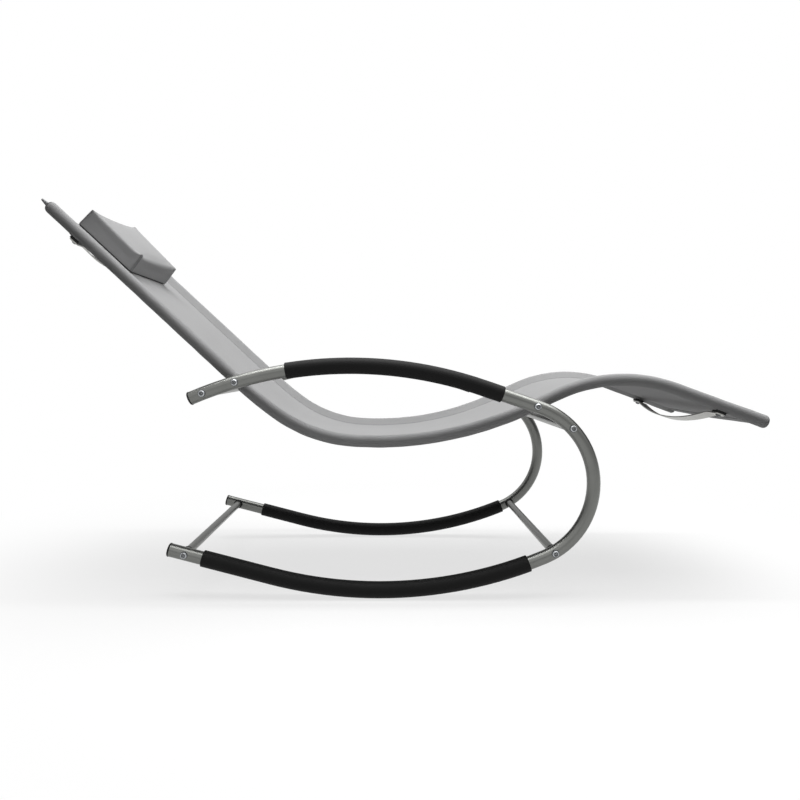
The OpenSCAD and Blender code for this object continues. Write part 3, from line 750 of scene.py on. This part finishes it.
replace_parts(sleeve("sling_sleeve_cloth_right", -1), "sling_sleeve_right")
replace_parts(sleeve("sling_sleeve_cloth_left", 1), "sling_sleeve_left")

# ---------------------------------------------------------------- pillow
# A boxed head cushion, sewn from flat panels of the sling cloth over a soft filling. It lies on the sling,
# held by its grips, and is underfilled: its corners stand up and the edges between them sag.
LONG, WIDE, HIGH = 0.1690, 0.2800, 0.0500
CELLS_LONG, CELLS_WIDE, CELLS_HIGH = 36, 60, 12
PILLOW_AT = 0.1090  # its middle along the rail's line
PILLOW_FOOT = -0.0036  # its bottom's height over that line, which is on the panel
PILLOW_TOP = 0.0492
RISE_LEFT, FALL_TO_FOOT, RISE_CORNER = 0.0050, 0.0022, 0.0008  # the top's tilt
SWELL, EDGE_SAG = 0.002, 0.006  # in the middle of the top and along its two long edges
FOOT_SPREAD, HEAD_SPREAD, LEAN = 0.0045, 0.0018, 0.0015  # of the two long sides
LONG_SIDE_HOLLOW, SHORT_SIDE_HOLLOW = 0.002, 0.003
EDGE_RADIUS, TOP_EDGE_MORE = 0.003, 0.004  # the upper edges are rounder than the lower
CORNER_TIGHT, CORNER_FREE = 0.002, 0.03  # but not within these distances of a corner
EDGE_FREE = 0.03  # the filling moves the cover freely this far from an edge
EAR_REACH = 0.009  # a corner's pull dies out over this distance
# Each top corner's place as (towards the foot, to the left) and how far its seams pull it up.
EARS = [((1, -1), 0.0120), ((-1, 1), 0.0035), ((-1, -1), 0.0020), ((1, 1), 0.0015)]
PRESSURE = 4
SETTLING_FRAMES = 20
EVENING_ROUNDS = 30
EDGE_MOVE, FACE_MOVE, BOTTOM_MOVE = 0.0006, 0.0018, 0.0004  # how far the filling may move the cover
grid, points = {}, []


def cushion_point(i, j, k):
    """The place of one point of the cushion's grid of cells, before the filling swells it."""
    x, y = LONG * (i / CELLS_LONG - 0.5), WIDE * (j / CELLS_WIDE - 0.5)
    place = Vector((x, y, HIGH * k / CELLS_HIGH))
    # The edges are rounded, and less so at the corners, where the seams meet.
    from_corner = math.hypot(LONG / 2 - abs(place.x), WIDE / 2 - abs(place.y))
    r = EDGE_RADIUS + TOP_EDGE_MORE * k / CELLS_HIGH * smooth(CORNER_TIGHT, CORNER_FREE, from_corner)
    low = Vector((r - LONG / 2, r - WIDE / 2, r))
    high = Vector((LONG / 2 - r, WIDE / 2 - r, HIGH - r))
    core = Vector([min(b, max(a, value)) for a, b, value in zip(low, high, place)])
    out = place - core
    place = core + out * min(1, r / max(out.length, 1e-6))
    # u runs towards the foot and v to the left, both from -1 to 1, and w runs up from 0 to 1.
    u, v, w = 2 * place.x / LONG, 2 * place.y / WIDE, place.z / HIGH
    # The top rises to the left and to the head, swells in the middle and sags along its two long edges.
    top = PILLOW_TOP + RISE_LEFT * v - FALL_TO_FOOT * u + RISE_CORNER * (1 + v) * (1 - u)
    top += SWELL * (1 - u * u) * (1 - v * v) - EDGE_SAG * u**4 * (1 - v * v)
    for (toward, left), pull in EARS:
        away = math.hypot((toward - u) * LONG / 2, (left - v) * WIDE / 2)
        top += pull * math.exp(-away / EAR_REACH)
    # The foot side spreads below and the head side stands a little further out. Both lean in upwards, and
    # all four sides are hollow between their corners.
    s = PILLOW_AT + place.x + FOOT_SPREAD * max(0, u) * (1 - w) + HEAD_SPREAD * min(0, u)
    s = s - LEAN * w * u - LONG_SIDE_HOLLOW * w * (1 - v * v) * u * abs(u)
    y = place.y - SHORT_SIDE_HOLLOW * w * (1 - u * u) * v * abs(v)
    return on_rail(s, PILLOW_FOOT + w * (top - PILLOW_FOOT), y)


def cushion(i, j, k):
    """The number of the point at that place of the grid, which is made the first time."""
    if (i, j, k) not in grid:
        grid[i, j, k] = len(points)
        points.append(cushion_point(i, j, k))
    return grid[i, j, k]


def cell_face(corner, one, other):
    """A face of the grid's skin, from its corner along two of the axes."""
    opposite = [a + b - c for a, b, c in zip(one, other, corner)]
    return [cushion(*place) for place in (corner, one, opposite, other)]


faces = []
for i in range(CELLS_LONG):
    for j in range(CELLS_WIDE):
        for k in (0, CELLS_HIGH):
            faces.append(cell_face((i, j, k), (i + 1, j, k), (i, j + 1, k)))
for k in range(CELLS_HIGH):
    for i in range(CELLS_LONG):
        for j in (0, CELLS_WIDE):
            faces.append(cell_face((i, j, k), (i + 1, j, k), (i, j, k + 1)))
    for j in range(CELLS_WIDE):
        for i in (0, CELLS_LONG):
            faces.append(cell_face((i, j, k), (i, j + 1, k), (i, j, k + 1)))
mesh = bpy.data.meshes.new("pillow_cushion")
mesh.from_pydata(points, [], faces)
layer = mesh.uv_layers.new(name="UVMap")
cells = {number: cell for cell, number in grid.items()}
for part in mesh.polygons:
    flat = [len({cells[v][axis] for v in part.vertices}) == 1 for axis in range(3)]
    for index in part.loop_indices:
        i, j, k = cells[mesh.loops[index].vertex_index]
        u, v, w = LONG * i / CELLS_LONG, WIDE * j / CELLS_WIDE, HIGH * k / CELLS_HIGH
        if flat[2]:
            layer.data[index].uv = (v, u)
        elif flat[1]:
            layer.data[index].uv = (u, w)
        else:
            layer.data[index].uv = (v, w)
pillow = bpy.data.objects.new("pillow_cushion", mesh)
scene.collection.objects.link(pillow)
face_outward(pillow)

# The filling presses the cover out in a short cloth simulation. Its moves are evened out between
# neighbouring points and kept to about 2 mm, so that the cushion swells without small folds.
bpy.ops.object.modifier_add(type="CLOTH")
settings = pillow.modifiers[-1].settings
settings.quality = 6
settings.mass = 0.3
settings.tension_stiffness = 30
settings.compression_stiffness = 30
settings.shear_stiffness = 15
settings.bending_stiffness = 1
settings.use_pressure = True
settings.uniform_pressure_force = PRESSURE
settings.effector_weights.gravity = 0
for moment in range(1, SETTLING_FRAMES + 1):
    scene.frame_set(moment)
bpy.ops.object.modifier_apply(modifier=pillow.modifiers[-1].name)
scene.frame_set(1)
moves = [v.co - old for v, old in zip(pillow.data.vertices, points)]
for _ in range(EVENING_ROUNDS):
    total, count = [move.copy() for move in moves], [1] * len(moves)
    for edge in pillow.data.edges:
        a, b = edge.vertices
        total[a] += moves[b]
        total[b] += moves[a]
        count[a] += 1
        count[b] += 1
    moves = [move / number for move, number in zip(total, count)]
for v, old, move in zip(pillow.data.vertices, points, moves):
    i, j, k = cells[v.index]
    from_side = [
        min(i, CELLS_LONG - i) * LONG / CELLS_LONG,
        min(j, CELLS_WIDE - j) * WIDE / CELLS_WIDE,
        min(k, CELLS_HIGH - k) * HIGH / CELLS_HIGH,
    ]
    from_edge = sorted(from_side)[1]
    limit = EDGE_MOVE + FACE_MOVE * smooth(0, EDGE_FREE, from_edge) if k else BOTTOM_MOVE
    v.co = old + move * min(1, limit / max(move.length, 1e-9))
bpy.ops.object.modifier_add(type="SUBSURF")
pillow.modifiers[-1].levels = 1
pillow.modifiers[-1].render_levels = 1
bpy.ops.object.modifier_apply(modifier=pillow.modifiers[-1].name)
bpy.ops.object.shade_smooth()
settled = [pillow.data.vertices[number].co.copy() for number in range(len(points))]
pillow.data.materials.append(woven("grey pillow cloth"))
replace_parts(pillow, "pillow")
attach(pillow, "pillow")

# ---------------------------------------------------------------- pillow seams and stitching
# Each upright corner of the cover is a raised seam, sewn from inside, between two rows of darker polyester
# thread that hold its allowance down.
SEAM_THICK, THREAD_THICK = 0.0022, 0.0007
THREAD_OFF = 0.75  # a row lies this share of a cell beside its seam
THREAD_PROUD = 0.0006
TWIST = 0.0011  # the yarn's turns are half a millimetre long and drawn at 1.1 mm


def yarn(name, dark, light):
    """Spun polyester. It gives the eye a dull line with a slight change of tone along it."""
    made, tree, shader = material(name, light, Roughness=0.8)
    mottle(tree, shader, TWIST, 2, dark, light)
    return made


def threads(name, lines, thick, finish):
    """Round threads along lines of points, as one piece."""
    cord = bpy.data.curves.new(name, "CURVE")
    cord.dimensions = "3D"
    cord.bevel_depth = thick / 2
    cord.bevel_resolution = 2
    cord.use_fill_caps = True
    for line in lines:
        spline = cord.splines.new("POLY")
        spline.points.add(len(line) - 1)
        for point, place in zip(spline.points, line):
            point.co = (*place, 1)
    made = bpy.data.objects.new(name, cord)
    scene.collection.objects.link(made)
    select(made)
    bpy.ops.object.convert(target="MESH")
    bpy.ops.object.shade_smooth()
    made = bpy.context.object
    made.data.materials.append(finish)
    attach(made, "pillow")


middle = sum(settled, Vector()) / len(settled)
ridges, rows = [], []
upright = range(1, CELLS_HIGH + 1)
for i, inward in ((0, 1), (CELLS_LONG, -1)):
    for j, sideways in ((0, 1), (CELLS_WIDE, -1)):
        corner = [settled[grid[i, j, k]] for k in upright]
        ridges.append(corner)
        for beside_i, beside_j in ((i + inward, j), (i, j + sideways)):
            beside = [settled[grid[beside_i, beside_j, k]] for k in upright]
            row = [a.lerp(b, THREAD_OFF) for a, b in zip(corner, beside)]
            rows.append([p + THREAD_PROUD * (a - middle).normalized() for p, a in zip(row, corner)])
threads("pillow_seams", ridges, SEAM_THICK, yarn("grey seam thread", "#8c8c8d", "#a0a0a1"))
threads("pillow_stitching", rows, THREAD_THICK, yarn("dark stitching thread", "#6a6a6c", "#787879"))

# ---------------------------------------------------------------- pillow's painted shade band
# A narrow black band round the cover's bottom edge, in the same webbing as the straps. It is painted shade:
# it darkens the gap between the pillow's bottom edge and the panel, where shade falls.
SHADE_BAND = 0.0008  # its thickness
SHADE_BAND_ROWS = (0, 0.25, 0.5)  # heights of its rows of points, in cells of the cushion
ROW_HEIGHT = 0.0015  # and the distance between them on the UV map
rim = [(i, 0) for i in range(CELLS_LONG)] + [(CELLS_LONG, j) for j in range(CELLS_WIDE)]
rim += [(i, CELLS_WIDE) for i in range(CELLS_LONG, 0, -1)]
rim += [(0, j) for j in range(CELLS_WIDE, 0, -1)]
bottom = sum((settled[grid[i, j, 0]] for i, j in rim), Vector()) / len(rim)
strips = []
for i, j in rim:
    foot, above = settled[grid[i, j, 0]], settled[grid[i, j, 1]]
    out = THREAD_PROUD * (foot - bottom).normalized()
    strips.append([foot.lerp(above, part) + out for part in SHADE_BAND_ROWS])
rim_length = sum((a[0] - b[0]).length for a, b in zip(strips, strips[1:] + strips[:1]))
# The band is painted shade along the pillow's bottom edge.
shade_band = lattice(
    "pillow_shade_band",
    strips,
    lambda i, k: (rim_length * i / len(rim), ROW_HEIGHT * k),
    closed=True,
)
thicken(shade_band, SHADE_BAND, 0)
shade_band.data.materials.append(tape)
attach(shade_band, "pillow")
